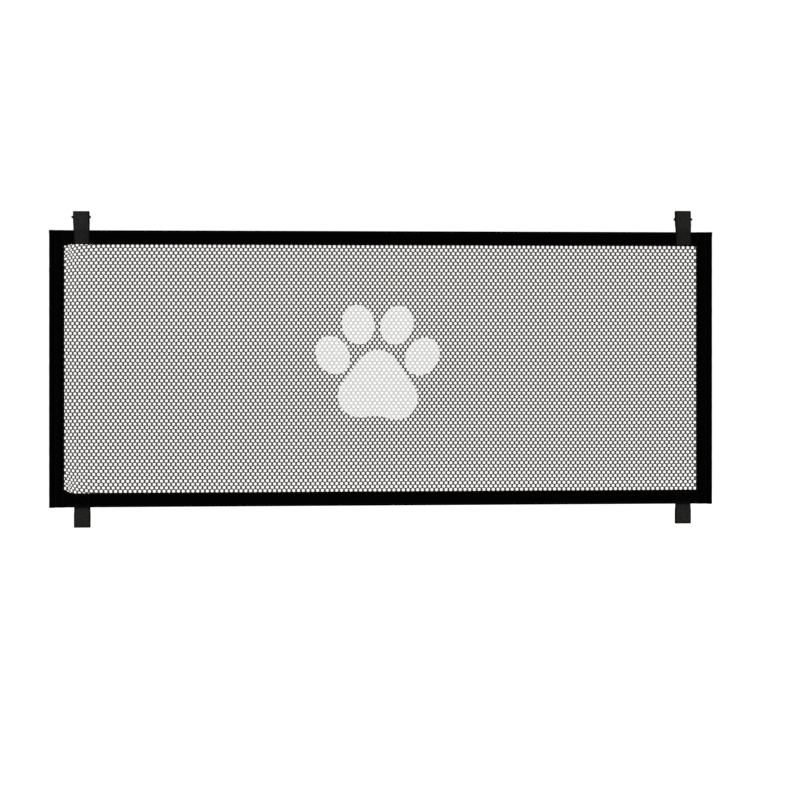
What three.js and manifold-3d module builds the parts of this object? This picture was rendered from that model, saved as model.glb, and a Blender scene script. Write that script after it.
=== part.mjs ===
// A mesh pet gate: a net panel with a sewn fabric border, stiffened by a rod that slides into a
// sleeve at each side, and hung across a doorway by a loop of webbing near each corner.
//
// Millimetres, +Z up. The width runs along X and the front faces -Y. The origin lies under the
// middle of the gate, level with the folds of the two lower loops.

import * as THREE from 'three';
import { mergeVertices } from 'three/addons/utils/BufferGeometryUtils.js';
import Module from 'manifold-3d';

const wasm = await Module();
wasm.setup();

// Panel and border
const gateWidth = 1800;
const gateHeight = 745;
const netThickness = 1;
const netCatch = 18; // how far the net's edge reaches into the border
const tapeThickness = 1; // one layer of border fabric
const borderDepth = 38; // folded tape along the top and along the bottom
const sideHem = 25; // flat part of a side sleeve, beside the rod's pocket
const sewnGap = 0.3; // between layers that are sewn onto each other

// Support rods
const rodDiameter = 12;
const rodWall = 1.5;
const pocketSlack = 1; // how much wider than the rod its pocket is
const pocketFloor = 3; // closed lower end of the pocket
const rodBelowMouth = 2; // the rod's top cap sits this far inside the pocket's mouth
const capHead = 2.5;
const capStem = 10;
const plugGap = 0.3; // between a cap's stem and the tube around it

// Webbing straps
const webbingWidth = 43;
const webbingThickness = 1.6;
const sewnLength = 36; // stretch of doubled webbing that is sewn flat onto the border
const leftStrapInset = 87.5; // from the gate's side edge to the middle of the strap
const rightStrapInset = 80;
const topLeftReach = 51; // from the border's edge to the fold of the loop
const topRightReach = 58;
const bottomReach = 55;
const foldClearance = 0.6; // between a loop folded flat over the border and the border's edge
const hollowTaper = 14; // length over which the two layers part to the loop's full hollow

// Hanging bars
const barDiameter = 6;
const barHeadDiameter = 7.5;
const barHeadLength = 2.2;
const barPlay = 3; // how far a bar can shift sideways between its heads
const barClearance = 0.4; // between the bar and each layer of webbing
const leftBarDrop = 16.3; // from the fold of the loop down to the bar's axis
const rightBarDrop = 23.7;

// Worked out from the sizes above
const netHalf = netThickness / 2;
const slotHalf = netHalf + sewnGap;
const borderHalf = slotHalf + tapeThickness;
const pocketRadius = (rodDiameter + pocketSlack) / 2;
const pocketOuterRadius = pocketRadius + tapeThickness;
const sleeveWidth = 2 * pocketOuterRadius + sideHem;
const panelBottom = bottomReach;
const panelTop = panelBottom + gateHeight;
const strapPlane = borderHalf + sewnGap + webbingThickness; // middle of a strap, off the panel's
const hingeRise = webbingThickness + foldClearance; // fold line of a loop, off the border's edge
const hollowStart = strapPlane + borderHalf; // the layers part beyond the border's far edge
const hollowHalf = barDiameter / 2 + barClearance;

const ROUND = 32; // facets of a full circle
const UP_FROM_Y = new THREE.Matrix4().makeRotationX(Math.PI / 2);
const ALONG_X = new THREE.Matrix4().makeBasis(
  new THREE.Vector3(0, 1, 0),
  new THREE.Vector3(0, 0, 1),
  new THREE.Vector3(1, 0, 0),
);

const netMaterial = new THREE.MeshStandardMaterial({ color: 0x77736f, roughness: 0.9, metalness: 0 });
const tapeMaterial = new THREE.MeshStandardMaterial({ color: 0x0a0a0b, roughness: 0.95, metalness: 0 });
const webbingMaterial = new THREE.MeshStandardMaterial({ color: 0x222222, roughness: 0.8, metalness: 0 });
const barMaterial = new THREE.MeshStandardMaterial({ color: 0x1c1c1d, roughness: 0.35, metalness: 0 });
const rodMaterial = new THREE.MeshStandardMaterial({ color: 0xd9d9d6, roughness: 0.4, metalness: 0 });
const capMaterial = new THREE.MeshStandardMaterial({ color: 0x151515, roughness: 0.5, metalness: 0 });

const gate = new THREE.Group();

// Names a piece, gives it its material and hangs it in a group.
function addPiece(parent, name, geometry, material) {
  const mesh = new THREE.Mesh(geometry, material);
  mesh.name = name;
  parent.add(mesh);
  return mesh;
}

// Extrudes an outline drawn in Y and Z along X, centred on x = 0.
function extrudeAcross(outline, width) {
  const geometry = new THREE.ExtrudeGeometry(outline, {
    depth: width,
    bevelEnabled: false,
    curveSegments: ROUND / 2,
  });
  geometry.translate(0, 0, -width / 2);
  return geometry.applyMatrix4(ALONG_X);
}

// Turns a profile of radius and height points about the Z axis.
function turned(points) {
  return new THREE.LatheGeometry(points, ROUND).applyMatrix4(UP_FROM_Y);
}

function toManifold(geometry) {
  const bare = geometry.clone();
  bare.deleteAttribute('normal');
  bare.deleteAttribute('uv');
  const merged = mergeVertices(bare);
  const triangles = merged.index
    ? new Uint32Array(merged.index.array)
    : Uint32Array.from({ length: merged.attributes.position.count }, (_, i) => i);
  return new wasm.Manifold(
    new wasm.Mesh({
      numProp: 3,
      vertProperties: new Float32Array(merged.attributes.position.array),
      triVerts: triangles,
    }),
  );
}

// One geometry with another cut out of it.
function cut(geometry, tool) {
  const result = toManifold(geometry).subtract(toManifold(tool)).getMesh();
  const solid = new THREE.BufferGeometry();
  solid.setAttribute('position', new THREE.BufferAttribute(result.vertProperties, result.numProp));
  solid.setIndex(new THREE.BufferAttribute(result.triVerts, 1));
  solid.computeVertexNormals();
  return solid;
}

// The net: its edges end inside the border on all four sides.
function makeNet() {
  const width = gateWidth - 2 * (sleeveWidth - netCatch);
  const height = gateHeight - 2 * (borderDepth - netCatch);
  const net = addPiece(gate, 'net_panel', new THREE.BoxGeometry(width, netThickness, height), netMaterial);
  net.position.z = panelBottom + gateHeight / 2;
}

// The folded tape over the net's top or bottom edge: a tall U whose fold is the gate's edge.
// Drawn with its open side down and its inner edge at z = 0.
function borderTape() {
  const outline = new THREE.Shape();
  outline.moveTo(slotHalf, 0);
  outline.lineTo(borderHalf, 0);
  outline.absarc(0, borderDepth - borderHalf, borderHalf, 0, Math.PI, false);
  outline.lineTo(-borderHalf, 0);
  outline.lineTo(-slotHalf, 0);
  outline.lineTo(-slotHalf, netCatch + sewnGap);
  outline.lineTo(slotHalf, netCatch + sewnGap);
  outline.closePath();
  return extrudeAcross(outline, gateWidth - 2 * (sleeveWidth + sewnGap));
}

function makeBorders() {
  const top = addPiece(gate, 'top_border', borderTape(), tapeMaterial);
  top.position.z = panelTop - borderDepth;
  const bottom = addPiece(gate, 'bottom_border', borderTape(), tapeMaterial);
  bottom.rotation.x = Math.PI;
  bottom.position.z = panelBottom + borderDepth;
}

// A side sleeve, drawn for the left side with x measured inwards from the gate's side edge. The
// round pocket holds the rod and is open at the top, and the flat hem holds the net's edge.
function sleeve() {
  const meet = Math.asin(borderHalf / pocketOuterRadius);
  const outline = new THREE.Shape();
  outline.absarc(pocketOuterRadius, 0, pocketOuterRadius, meet, 2 * Math.PI - meet, false);
  outline.lineTo(sleeveWidth, -borderHalf);
  outline.lineTo(sleeveWidth, -slotHalf);
  outline.lineTo(sleeveWidth - netCatch - sewnGap, -slotHalf);
  outline.lineTo(sleeveWidth - netCatch - sewnGap, slotHalf);
  outline.lineTo(sleeveWidth, slotHalf);
  outline.lineTo(sleeveWidth, borderHalf);
  outline.closePath();
  const fabric = new THREE.ExtrudeGeometry(outline, {
    depth: gateHeight,
    bevelEnabled: false,
    curveSegments: ROUND,
  });
  const pocket = new THREE.CylinderGeometry(pocketRadius, pocketRadius, gateHeight, ROUND);
  pocket.applyMatrix4(UP_FROM_Y);
  pocket.translate(pocketOuterRadius, 0, pocketFloor + gateHeight / 2);
  return cut(fabric, pocket);
}

function makeSleeves() {
  const left = addPiece(gate, 'left_sleeve', sleeve(), tapeMaterial);
  left.position.set(-gateWidth / 2, 0, panelBottom);
  const right = addPiece(gate, 'right_sleeve', sleeve(), tapeMaterial);
  right.rotation.z = Math.PI;
  right.position.set(gateWidth / 2, 0, panelBottom);
}

// A support rod: a plain tube, standing on its lower end.
function tube(length) {
  const outer = rodDiameter / 2;
  const inner = outer - rodWall;
  return turned([
    new THREE.Vector2(inner, 0),
    new THREE.Vector2(outer, 0),
    new THREE.Vector2(outer, length),
    new THREE.Vector2(inner, length),
    new THREE.Vector2(inner, 0),
  ]);
}

// A push-in end cap with a domed head. The head's underside is at z = 0 and the stem below it.
function endCap() {
  const headRadius = rodDiameter / 2;
  const stemRadius = headRadius - rodWall - plugGap;
  const points = [new THREE.Vector2(0, -capStem), new THREE.Vector2(stemRadius, -capStem)];
  points.push(new THREE.Vector2(stemRadius, 0));
  const steps = ROUND / 4;
  for (let i = 0; i <= steps; i += 1) {
    const angle = (i / steps) * (Math.PI / 2);
    const radius = i === steps ? 0 : headRadius * Math.cos(angle);
    points.push(new THREE.Vector2(radius, capHead * Math.sin(angle)));
  }
  return turned(points);
}

function makeRod(name, x) {
  const rodBottom = panelBottom + pocketFloor + sewnGap;
  const rodTop = panelTop - rodBelowMouth;
  const tubeLength = rodTop - rodBottom - 2 * (capHead + plugGap);
  const rod = new THREE.Group();
  rod.position.set(x, 0, rodBottom);
  gate.add(rod);
  addPiece(rod, `${name}_rod`, tube(tubeLength), rodMaterial).position.z = capHead + plugGap;
  addPiece(rod, `${name}_rod_top_cap`, endCap(), capMaterial).position.z = rodTop - rodBottom - capHead;
  const bottomCap = addPiece(rod, `${name}_rod_bottom_cap`, endCap(), capMaterial);
  bottomCap.rotation.x = Math.PI;
  bottomCap.position.z = capHead;
}

// The sewn end of a strap: two layers of webbing flat on the border, below the loop's fold line.
function strapRoot() {
  const top = -(webbingThickness + sewnGap);
  const bottom = -(hingeRise + sewnLength);
  const outline = new THREE.Shape();
  outline.moveTo(webbingThickness, top);
  outline.lineTo(-webbingThickness, top);
  outline.absarc(0, bottom + webbingThickness, webbingThickness, Math.PI, 2 * Math.PI, false);
  outline.closePath();
  return extrudeAcross(outline, webbingWidth);
}

// Half the distance between the two layers of a loop, at a height above its fold line.
function hollowAt(height) {
  return hollowHalf * THREE.MathUtils.smoothstep(height, hollowStart, hollowStart + hollowTaper);
}

// The loop: webbing doubled back on itself, closed at the fold line, parting round the bar and
// turning over at the top in a half circle.
function strapLoop(reach) {
  const noseCentre = reach - hingeRise - webbingThickness - hollowHalf;
  const steps = ROUND / 4;
  const heights = [];
  for (let i = 0; i <= steps; i += 1) {
    heights.push(hollowStart + (hollowTaper * i) / steps);
  }
  const outline = new THREE.Shape();
  outline.absarc(0, 0, webbingThickness, Math.PI, 2 * Math.PI, false);
  for (const height of heights) {
    outline.lineTo(webbingThickness + hollowAt(height), height);
  }
  outline.absarc(0, noseCentre, webbingThickness + hollowHalf, 0, Math.PI, false);
  for (const height of heights.toReversed()) {
    outline.lineTo(-webbingThickness - hollowAt(height), height);
  }
  outline.closePath();
  const hollow = new THREE.Path();
  hollow.moveTo(0, hollowStart);
  for (const height of heights.slice(1)) {
    hollow.lineTo(hollowAt(height), height);
  }
  hollow.absarc(0, noseCentre, hollowHalf, 0, Math.PI, false);
  for (const height of heights.slice(1).toReversed()) {
    hollow.lineTo(-hollowAt(height), height);
  }
  hollow.closePath();
  outline.holes.push(hollow);
  return extrudeAcross(outline, webbingWidth);
}

// A hanging bar: a shaft across the loop, with a domed head just outside each edge of the webbing.
function hangingBar() {
  const shaft = webbingWidth + 2 * sewnGap + barPlay;
  const steps = ROUND / 4;
  const points = [];
  for (const end of [-1, 1]) {
    for (let i = 0; i <= steps; i += 1) {
      const turn = end < 0 ? steps - i : i;
      const angle = (turn / steps) * (Math.PI / 2);
      const radius = turn === steps ? 0 : (barHeadDiameter / 2) * Math.cos(angle);
      points.push(new THREE.Vector2(radius, end * (shaft / 2 + barHeadLength * Math.sin(angle))));
    }
    if (end < 0) {
      points.push(new THREE.Vector2(barDiameter / 2, -shaft / 2));
      points.push(new THREE.Vector2(barDiameter / 2, shaft / 2));
    }
  }
  return turned(points).applyMatrix4(ALONG_X);
}

// One strap, in a group on its fold line whose +Z points away from the border. The upper straps
// are sewn to the front of the border and the lower ones, turned over, to its back.
function makeStrap(name, x, isTop, reach) {
  const strap = new THREE.Group();
  if (isTop) {
    strap.position.set(x, -strapPlane, panelTop + hingeRise);
  } else {
    strap.rotation.x = Math.PI;
    strap.position.set(x, strapPlane, panelBottom - hingeRise);
  }
  gate.add(strap);
  addPiece(strap, `${name}_strap_root`, strapRoot(), webbingMaterial);
  addPiece(strap, `${name}_strap_loop`, strapLoop(reach), webbingMaterial);
  return strap;
}

// A bar lies across an upper loop, pushed over to the left as far as its right head lets it.
function makeBar(name, strap, reach, drop) {
  const bar = addPiece(strap, `${name}_hanging_bar`, hangingBar(), barMaterial);
  bar.position.set(-barPlay / 2, 0, reach - hingeRise - drop);
}

const leftStrapX = leftStrapInset - gateWidth / 2;
const rightStrapX = gateWidth / 2 - rightStrapInset;
const rodX = gateWidth / 2 - pocketOuterRadius;

makeNet();
makeBorders();
makeSleeves();
makeRod('left', -rodX);
makeRod('right', rodX);
const topLeftStrap = makeStrap('top_left', leftStrapX, true, topLeftReach);
const topRightStrap = makeStrap('top_right', rightStrapX, true, topRightReach);
makeStrap('bottom_left', leftStrapX, false, bottomReach);
makeStrap('bottom_right', rightStrapX, false, bottomReach);
makeBar('left', topLeftStrap, topLeftReach, leftBarDrop);
makeBar('right', topRightStrap, topRightReach, rightBarDrop);

export default gate;
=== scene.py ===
# %% [markdown]
# # A mesh pet gate
#
# The gate is a wide net with a sewn border. A rod in a sleeve stiffens each side, and a loop of
# webbing near each corner hangs on a wall hook. Its sizes come from a packed engineering model,
# which this script loads as a fixed frame, so every piece made here is placed by that model's
# boxes. The looks are surfaces worked out with numpy: a net of knitted strands, folded tape,
# ribbons of webbing, turned plastic parts and thousands of small stitches.

# %% Load the frame
import math

import bpy
import numpy as np
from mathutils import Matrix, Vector


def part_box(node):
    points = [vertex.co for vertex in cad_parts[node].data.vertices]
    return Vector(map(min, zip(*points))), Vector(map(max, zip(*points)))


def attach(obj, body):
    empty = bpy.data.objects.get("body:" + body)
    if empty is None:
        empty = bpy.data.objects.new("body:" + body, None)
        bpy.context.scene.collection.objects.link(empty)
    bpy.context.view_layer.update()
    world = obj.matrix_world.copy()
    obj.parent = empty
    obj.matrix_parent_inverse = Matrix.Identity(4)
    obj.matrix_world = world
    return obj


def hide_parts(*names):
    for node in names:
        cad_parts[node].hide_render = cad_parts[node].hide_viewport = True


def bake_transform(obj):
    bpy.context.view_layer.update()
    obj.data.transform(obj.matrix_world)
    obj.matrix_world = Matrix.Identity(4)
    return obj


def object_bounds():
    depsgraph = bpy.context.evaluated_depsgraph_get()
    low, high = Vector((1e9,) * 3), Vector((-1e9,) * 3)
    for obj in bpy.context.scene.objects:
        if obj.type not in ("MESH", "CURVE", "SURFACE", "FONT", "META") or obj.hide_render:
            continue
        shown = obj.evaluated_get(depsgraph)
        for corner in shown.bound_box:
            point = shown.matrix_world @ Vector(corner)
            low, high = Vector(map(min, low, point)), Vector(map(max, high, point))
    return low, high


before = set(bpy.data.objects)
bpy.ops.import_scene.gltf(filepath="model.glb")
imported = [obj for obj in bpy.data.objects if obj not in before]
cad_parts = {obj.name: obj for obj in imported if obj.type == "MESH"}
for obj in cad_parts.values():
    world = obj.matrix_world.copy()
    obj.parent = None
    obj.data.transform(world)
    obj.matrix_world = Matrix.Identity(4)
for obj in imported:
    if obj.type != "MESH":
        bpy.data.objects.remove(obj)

MM = 0.001
cad_low, cad_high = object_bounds()
print("the gate measures", [round(side, 3) for side in cad_high - cad_low], "metres")

# %% [markdown]
# ## Reading the sizes
#
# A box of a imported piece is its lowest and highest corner. Everything below is placed from these
# boxes, so when the engineering model changes, the looks follow it. X runs along the gate, the
# front faces -Y, and Z is up.

# %% Sizes taken from the frame
net_low, net_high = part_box("net_panel")
top_low, top_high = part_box("top_border")
bottom_low, bottom_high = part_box("bottom_border")
right_low, right_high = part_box("right_sleeve")
rod_low, rod_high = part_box("right_rod")

gate_low, gate_high = bottom_low.z, top_high.z
gate_middle = (gate_low + gate_high) / 2
border_depth = top_high.z - top_low.z
sleeve_width = right_high.x - right_low.x
half_width = right_high.x
opening_half_width = right_low.x
opening_half_height = top_low.z - gate_middle
print(f"panel {2 * half_width:.3f} by {gate_high - gate_low:.3f} m, border {border_depth / MM:.0f} mm")

# %% [markdown]
# ## Camera, floor and light
#
# The gate is seen almost square on, from a little above its middle and turned slightly to the
# right, so the right side is a touch smaller. A long lens keeps the edges straight. The lens is
# shifted down instead of tilting the camera, which is how a studio keeps the sides of a product
# upright.

# %% Camera
CAMERA_DISTANCE = 3.5
CAMERA_LEFT = 0.115
CAMERA_ABOVE_MIDDLE = 0.1115
CAMERA_YAW = 2.576
LENS = 58.05
LENS_SHIFT = -0.0909

scene = bpy.context.scene
camera = bpy.data.objects.new("camera", bpy.data.cameras.new("camera"))
camera.data.lens = LENS
camera.data.sensor_width = 36
camera.data.shift_y = LENS_SHIFT
camera.location = (-CAMERA_LEFT, -CAMERA_DISTANCE, gate_middle + CAMERA_ABOVE_MIDDLE)
camera.rotation_euler = (math.radians(90), 0, -math.radians(CAMERA_YAW))
scene.collection.objects.link(camera)
scene.camera = camera
print("camera at", [round(value, 3) for value in camera.location])

# %% [markdown]
# A product picture on white wants light from all round. The world gives that, a large soft panel
# above the camera adds a little direction, and the floor is a plain pale sheet. The standard view
# transform keeps white paper white.

# %% Floor and light
FLOOR_DROP = 0.30
FLOOR_HALF = 40.0

scene.view_settings.view_transform = "Standard"
world = bpy.data.worlds.new("white_room")
world.use_nodes = True
world.node_tree.nodes["Background"].inputs["Color"].default_value = (1, 1, 1, 1)
world.node_tree.nodes["Background"].inputs["Strength"].default_value = 1.03
scene.world = world

floor_mesh = bpy.data.meshes.new("floor")
floor_corners = [(-1, -1), (1, -1), (1, 1), (-1, 1)]
floor_level = cad_low.z - FLOOR_DROP
floor_mesh.from_pydata(
    [(FLOOR_HALF * x, FLOOR_HALF * y, floor_level) for x, y in floor_corners], [], [(0, 1, 2, 3)]
)
floor = bpy.data.objects.new("floor", floor_mesh)
scene.collection.objects.link(floor)


def soft_panel(name, place, size, power):
    """Adds a square area light at a place, turned to face the middle of the gate."""
    light = bpy.data.objects.new(name, bpy.data.lights.new(name, "AREA"))
    light.data.size = size
    light.data.energy = power
    light.location = place
    aim = Vector((0, 0, gate_middle)) - Vector(place)
    light.rotation_euler = aim.to_track_quat("-Z", "Y").to_euler()
    scene.collection.objects.link(light)


soft_panel("key_panel", (-1.4, -2.6, 2.4), 1.6, 26)
soft_panel("back_panel", (1.8, 2.8, 2.2), 1.6, 14)
print("floor at", round(floor_level, 3))

# %% [markdown]
# ## Shader maths as plain expressions
#
# A material's pattern is a formula, and Blender draws formulas as a web of Math nodes. Wrapping a
# socket in a small class lets Python's own + - * / build that web, so a weave reads like the
# formula that it is. Every node comes from one method, which takes the node's type, its settings
# and the values or links of its sockets.


# %% A class for shader values and one for materials
class Field:
    """A number or colour that a shader works out at every point of a surface."""

    def __init__(self, recipe, socket):
        self.recipe = recipe
        self.socket = socket

    def math(self, operation, *values):
        return self.recipe.node("ShaderNodeMath", {"operation": operation}, dict(enumerate(values)))

    def __add__(self, other):
        return self.math("ADD", self, other)

    def __sub__(self, other):
        return self.math("SUBTRACT", self, other)

    def __rsub__(self, other):
        return self.math("SUBTRACT", other, self)

    def __mul__(self, other):
        return self.math("MULTIPLY", self, other)

    __radd__ = __add__
    __rmul__ = __mul__

    def wave(self, length):
        """A sine from -1 to 1 that repeats after a length in metres."""
        return self.math("SINE", self * (2 * math.pi / length))

    def fold(self, length):
        """A zigzag that climbs from 0 to a length and comes back, as the rows of a chevron do."""
        return self.math("PINGPONG", self, length)

    def size(self):
        """The value without its sign."""
        return self.math("ABSOLUTE", self)

    def step(self, low, high):
        """0 below low, 1 above high and smooth between them."""
        sockets = {0: self, 1: low, 2: high, 3: 0.0, 4: 1.0}
        return self.recipe.node("ShaderNodeMapRange", {"interpolation_type": "SMOOTHSTEP"}, sockets)


class Recipe:
    """A material that is being written: its nodes end in one Principled shader."""

    def __init__(self, name):
        self.material = bpy.data.materials.new(name)
        self.material.use_nodes = True
        self.tree = self.material.node_tree
        self.shader = self.tree.nodes["Principled BSDF"]

    def feed(self, socket, value):
        """Links a field to a socket, or sets the socket to a plain number or colour."""
        if isinstance(value, Field):
            self.tree.links.new(value.socket, socket)
        elif socket.type == "RGBA":
            socket.default_value = (*value, 1.0)
        else:
            socket.default_value = value

    def node(self, kind, settings, sockets, out=0):
        made = self.tree.nodes.new(kind)
        for key, value in settings.items():
            setattr(made, key, value)
        for key, value in sockets.items():
            self.feed(made.inputs[key], value)
        return Field(self, made.outputs[out])

    def place(self):
        """The x, y and z of the point on the piece, in metres."""
        spot = self.node("ShaderNodeTexCoord", {}, {}, "Object")
        return [self.node("ShaderNodeSeparateXYZ", {}, {0: spot}, axis) for axis in range(3)]

    def measure(self, name):
        """A length that is kept on the mesh, such as the way along a ribbon."""
        return self.node("ShaderNodeAttribute", {"attribute_name": name}, {}, "Fac")

    def clouds(self, length, detail=2.0):
        """Noise from 0 to 1 whose blots are about a length in metres across."""
        spot = self.node("ShaderNodeTexCoord", {}, {}, "Object")
        sockets = {"Vector": spot, "Scale": 1 / length, "Detail": detail}
        return self.node("ShaderNodeTexNoise", {}, sockets, 0)

    def mix(self, share, first, second):
        """The first colour where share is 0 and the second where it is 1."""
        return self.node("ShaderNodeMix", {"data_type": "RGBA"}, {0: share, 6: first, 7: second}, 2)

    def relief(self, height, depth):
        """Bends the shading normal as if the height, from 0 to 1, stood for a depth in metres."""
        sockets = {"Strength": 1.0, "Distance": depth, "Height": height}
        self.feed(self.shader.inputs["Normal"], self.node("ShaderNodeBump", {}, sockets))

    def finish(self, **sockets):
        """Sets the shader's own sockets, whose names are given with _ for a space."""
        for key, value in sockets.items():
            self.feed(self.shader.inputs[key.replace("_", " ")], value)
        return self.material


print("shader values can be added, multiplied and folded")

# %% [markdown]
# ## Cloth and yarn
#
# Black fabric sends almost no light back, so its colour is close to nothing and its shine is kept
# low. What tells one fabric from another is its weave. The patterns read two lengths that every
# strip keeps on its mesh: how far a point is along the strip and how far across it. They follow
# a fold or a loop wherever it goes, which a pattern fixed in space would not.


# %% Woven border fabric
def woven_border():
    """Plain weave: the product of two sines, one along the strip and one across it."""
    recipe = Recipe("black_border_fabric")
    along, across = recipe.measure("along"), recipe.measure("across")
    weave = along.wave(1.1 * MM) * across.wave(1.1 * MM)
    patches = recipe.clouds(60 * MM)
    recipe.relief(weave * 0.5 + 0.5, 0.12 * MM)
    tone = patches * 0.5 + (weave * 0.5 + 0.5) * 0.5
    return recipe.finish(
        Base_Color=recipe.mix(tone, (0.0002, 0.0002, 0.0002), (0.0008, 0.0008, 0.0007)),
        Roughness=patches * 0.1 + 0.8,
        Specular_IOR_Level=0.006,
        Sheen_Weight=0.01,
        Sheen_Roughness=0.35,
    )


border_fabric = woven_border()
print("made", border_fabric.name)


# %% [markdown]
# Webbing is woven much thicker. Its cords run along the strap in narrow columns and lean one way
# and then the other, which makes a herringbone. A zigzag across the strap is added to the length
# along it before the sine is taken, so that the rows of the sine turn into chevrons. Shade is
# painted into the colour at the thin selvedges, where the rounded edges fall away from the light,
# and at the fold at the nose of a loop. The sewn end gets a little painted shade too.


# %% Webbing
RIB = 4.3 * MM


def herringbone():
    """Chevrons: the sine of the length along the strap plus a zigzag of the length across it."""
    recipe = Recipe("charcoal_webbing")
    along, across = recipe.measure("along"), recipe.measure("across")
    chevron = (along + across.fold(RIB)).wave(2.2 * MM) * 0.5 + 0.5
    worn = recipe.clouds(4 * MM)
    # painted shade: the colour is darkened towards the selvedges, where the rounded edges fall away from
    # the light
    selvedge_shade = across.size().step(17.8 * MM, 19.2 * MM)
    from_nose = recipe.measure("from_nose")
    # painted shade: the fold at the nose of a loop is darkened in the colour
    nose = 1 - from_nose.step(4.5 * MM, 7 * MM)
    # painted shade: the sewn end is darkened a little in the colour
    pressed = from_nose.step(46 * MM, 58 * MM)
    recipe.relief(chevron, 0.22 * MM)
    share = chevron * 0.5 + worn.step(0.3, 0.7) * 0.5
    tone = recipe.mix(share, (0.0030, 0.0030, 0.0028), (0.0205, 0.0205, 0.0192))
    # how much painted shade each point gets, at the selvedges, the nose and the sewn end, mixed towards
    # near black
    shaded = selvedge_shade * 0.9 + nose * 0.8 + pressed * 0.35
    return recipe.finish(
        Base_Color=recipe.mix(shaded, tone, (0.0008, 0.0008, 0.0008)),
        Roughness=worn * 0.15 + 0.7,
        Specular_IOR_Level=0.06,
    )


webbing = herringbone()
print("made", webbing.name)

# %% [markdown]
# The net is knitted, so each strand is a chain of loops. Their two legs lean towards the middle of
# the strand, and a fine sine of the way along it plus the distance from that middle shows them.
# The print is a coat of white ink over the same yarn, so it takes the same loops with another
# colour and a little more shine.


# %% Knitted yarn, ink and thread
def knitted(name, dark, light, roughness, shine):
    """Loops: the sine of the way along a strand plus the distance from its middle."""
    recipe = Recipe(name)
    loops = (recipe.measure("along") + recipe.measure("across").size()).wave(0.9 * MM) * 0.5 + 0.5
    streaks = recipe.clouds(35 * MM, 3.0)
    recipe.relief(loops, 0.15 * MM)
    return recipe.finish(
        Base_Color=recipe.mix(loops * 0.45 + streaks * 0.55, dark, light),
        Roughness=loops * 0.1 + roughness,
        Specular_IOR_Level=shine,
    )


def twisted_thread():
    """Two plies: a sine along a stitch, slanted by where the point is across it."""
    recipe = Recipe("black_thread")
    plies = (recipe.measure("along") + recipe.measure("across")).wave(0.7 * MM) * 0.5 + 0.5
    recipe.relief(plies, 0.08 * MM)
    return recipe.finish(
        Base_Color=recipe.mix(plies, (0.006, 0.006, 0.006), (0.011, 0.011, 0.011)),
        Roughness=plies * 0.2 + 0.45,
        Specular_IOR_Level=0.05,
    )


net_yarn = knitted("grey_net_yarn", (0.049, 0.043, 0.035), (0.069, 0.061, 0.050), 0.72, 0.12)
print_ink = knitted("white_print_ink", (0.50, 0.50, 0.485), (0.61, 0.61, 0.595), 0.5, 0.25)
sewing_thread = twisted_thread()
print("made", net_yarn.name, print_ink.name, sewing_thread.name)

# %% [markdown]
# The plastics are moulded or drawn. A moulded part has a fine satin grain. A drawn tube has faint
# lines along its length instead, which come from the edge of the tool that it was pushed through.


# %% Plastics
def moulded(name, dark, light, roughness, shine=0.35):
    """Satin grain: noise of two sizes, fine in the relief and coarse in colour and roughness."""
    recipe = Recipe(name)
    grain = recipe.clouds(0.35 * MM, 1.0)
    handled = recipe.clouds(6 * MM, 3.0)
    recipe.relief(grain, 0.03 * MM)
    return recipe.finish(
        Base_Color=recipe.mix(handled, dark, light),
        Roughness=handled * 0.15 + roughness,
        Specular_IOR_Level=shine,
    )


def drawn_tube():
    """Drawn lines: the product of two sines round the tube, with noise for the handling marks."""
    recipe = Recipe("off_white_tube")
    x, y = recipe.place()[:2]
    lines = (x + y * 2).wave(0.7 * MM) * (x - y).wave(1.3 * MM) * 0.5 + 0.5
    marks = recipe.clouds(20 * MM, 4.0)
    recipe.relief(lines, 0.02 * MM)
    return recipe.finish(
        Base_Color=recipe.mix(marks * 0.7 + lines * 0.3, (0.60, 0.60, 0.57), (0.72, 0.72, 0.70)),
        Roughness=marks * 0.2 + 0.35,
    )


bar_plastic = moulded("black_bar_plastic", (0.003, 0.003, 0.003), (0.005, 0.005, 0.005), 0.3, 0.1)
cap_plastic = moulded("black_cap_plastic", (0.010, 0.010, 0.011), (0.018, 0.018, 0.019), 0.45)
rod_plastic = drawn_tube()
pale_paper = moulded("pale_floor", (0.98, 0.98, 0.98), (0.99, 0.99, 0.99), 0.8)
floor.data.materials.append(pale_paper)
print("made", bar_plastic.name, cap_plastic.name, rod_plastic.name)

# %% [markdown]
# ## From an array of points to a mesh
#
# Nearly every piece here is a ring of points that is carried along a path: a strand, a stitch, a
# strap, a folded tape, a turned cap. So one function makes them all from an array whose axes are
# the separate shells, the rings along the path, the points round a ring, and x, y, z. It works on
# whole arrays, so half a million points take a moment.


# %% Quads between rings
def signed_volume(points, quads):
    """The sum over all triangles of a . (b x c) / 6, which is negative if faces point inwards."""
    corner = points[quads]
    total = 0.0
    for second, third in ((1, 2), (2, 3)):
        normal = np.cross(corner[:, second], corner[:, third])
        total += np.einsum("ij,ij->", corner[:, 0], normal) / 6
    return total


def mesh_piece(name, points, quads, measures, sharp=50):
    """Makes an object of quads that point outwards, and keeps the named lengths on its points."""
    if signed_volume(points, quads) < 0:
        quads = quads[:, ::-1]
    mesh = bpy.data.meshes.new(name)
    mesh.vertices.add(len(points))
    mesh.vertices.foreach_set("co", points.astype(np.float32).ravel())
    mesh.loops.add(quads.size)
    mesh.loops.foreach_set("vertex_index", quads.astype(np.int32).ravel())
    mesh.polygons.add(len(quads))
    mesh.polygons.foreach_set("loop_start", np.arange(0, quads.size, 4, dtype=np.int32))
    mesh.update(calc_edges=True)
    mesh.polygons.foreach_set("use_smooth", np.ones(len(quads), bool))
    mesh.set_sharp_from_angle(angle=math.radians(sharp))
    for key, values in measures.items():
        attribute = mesh.attributes.new(key, "FLOAT", "POINT")
        attribute.data.foreach_set("value", values.astype(np.float32).ravel())
    made = bpy.data.objects.new(name, mesh)
    scene.collection.objects.link(made)
    return made


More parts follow.
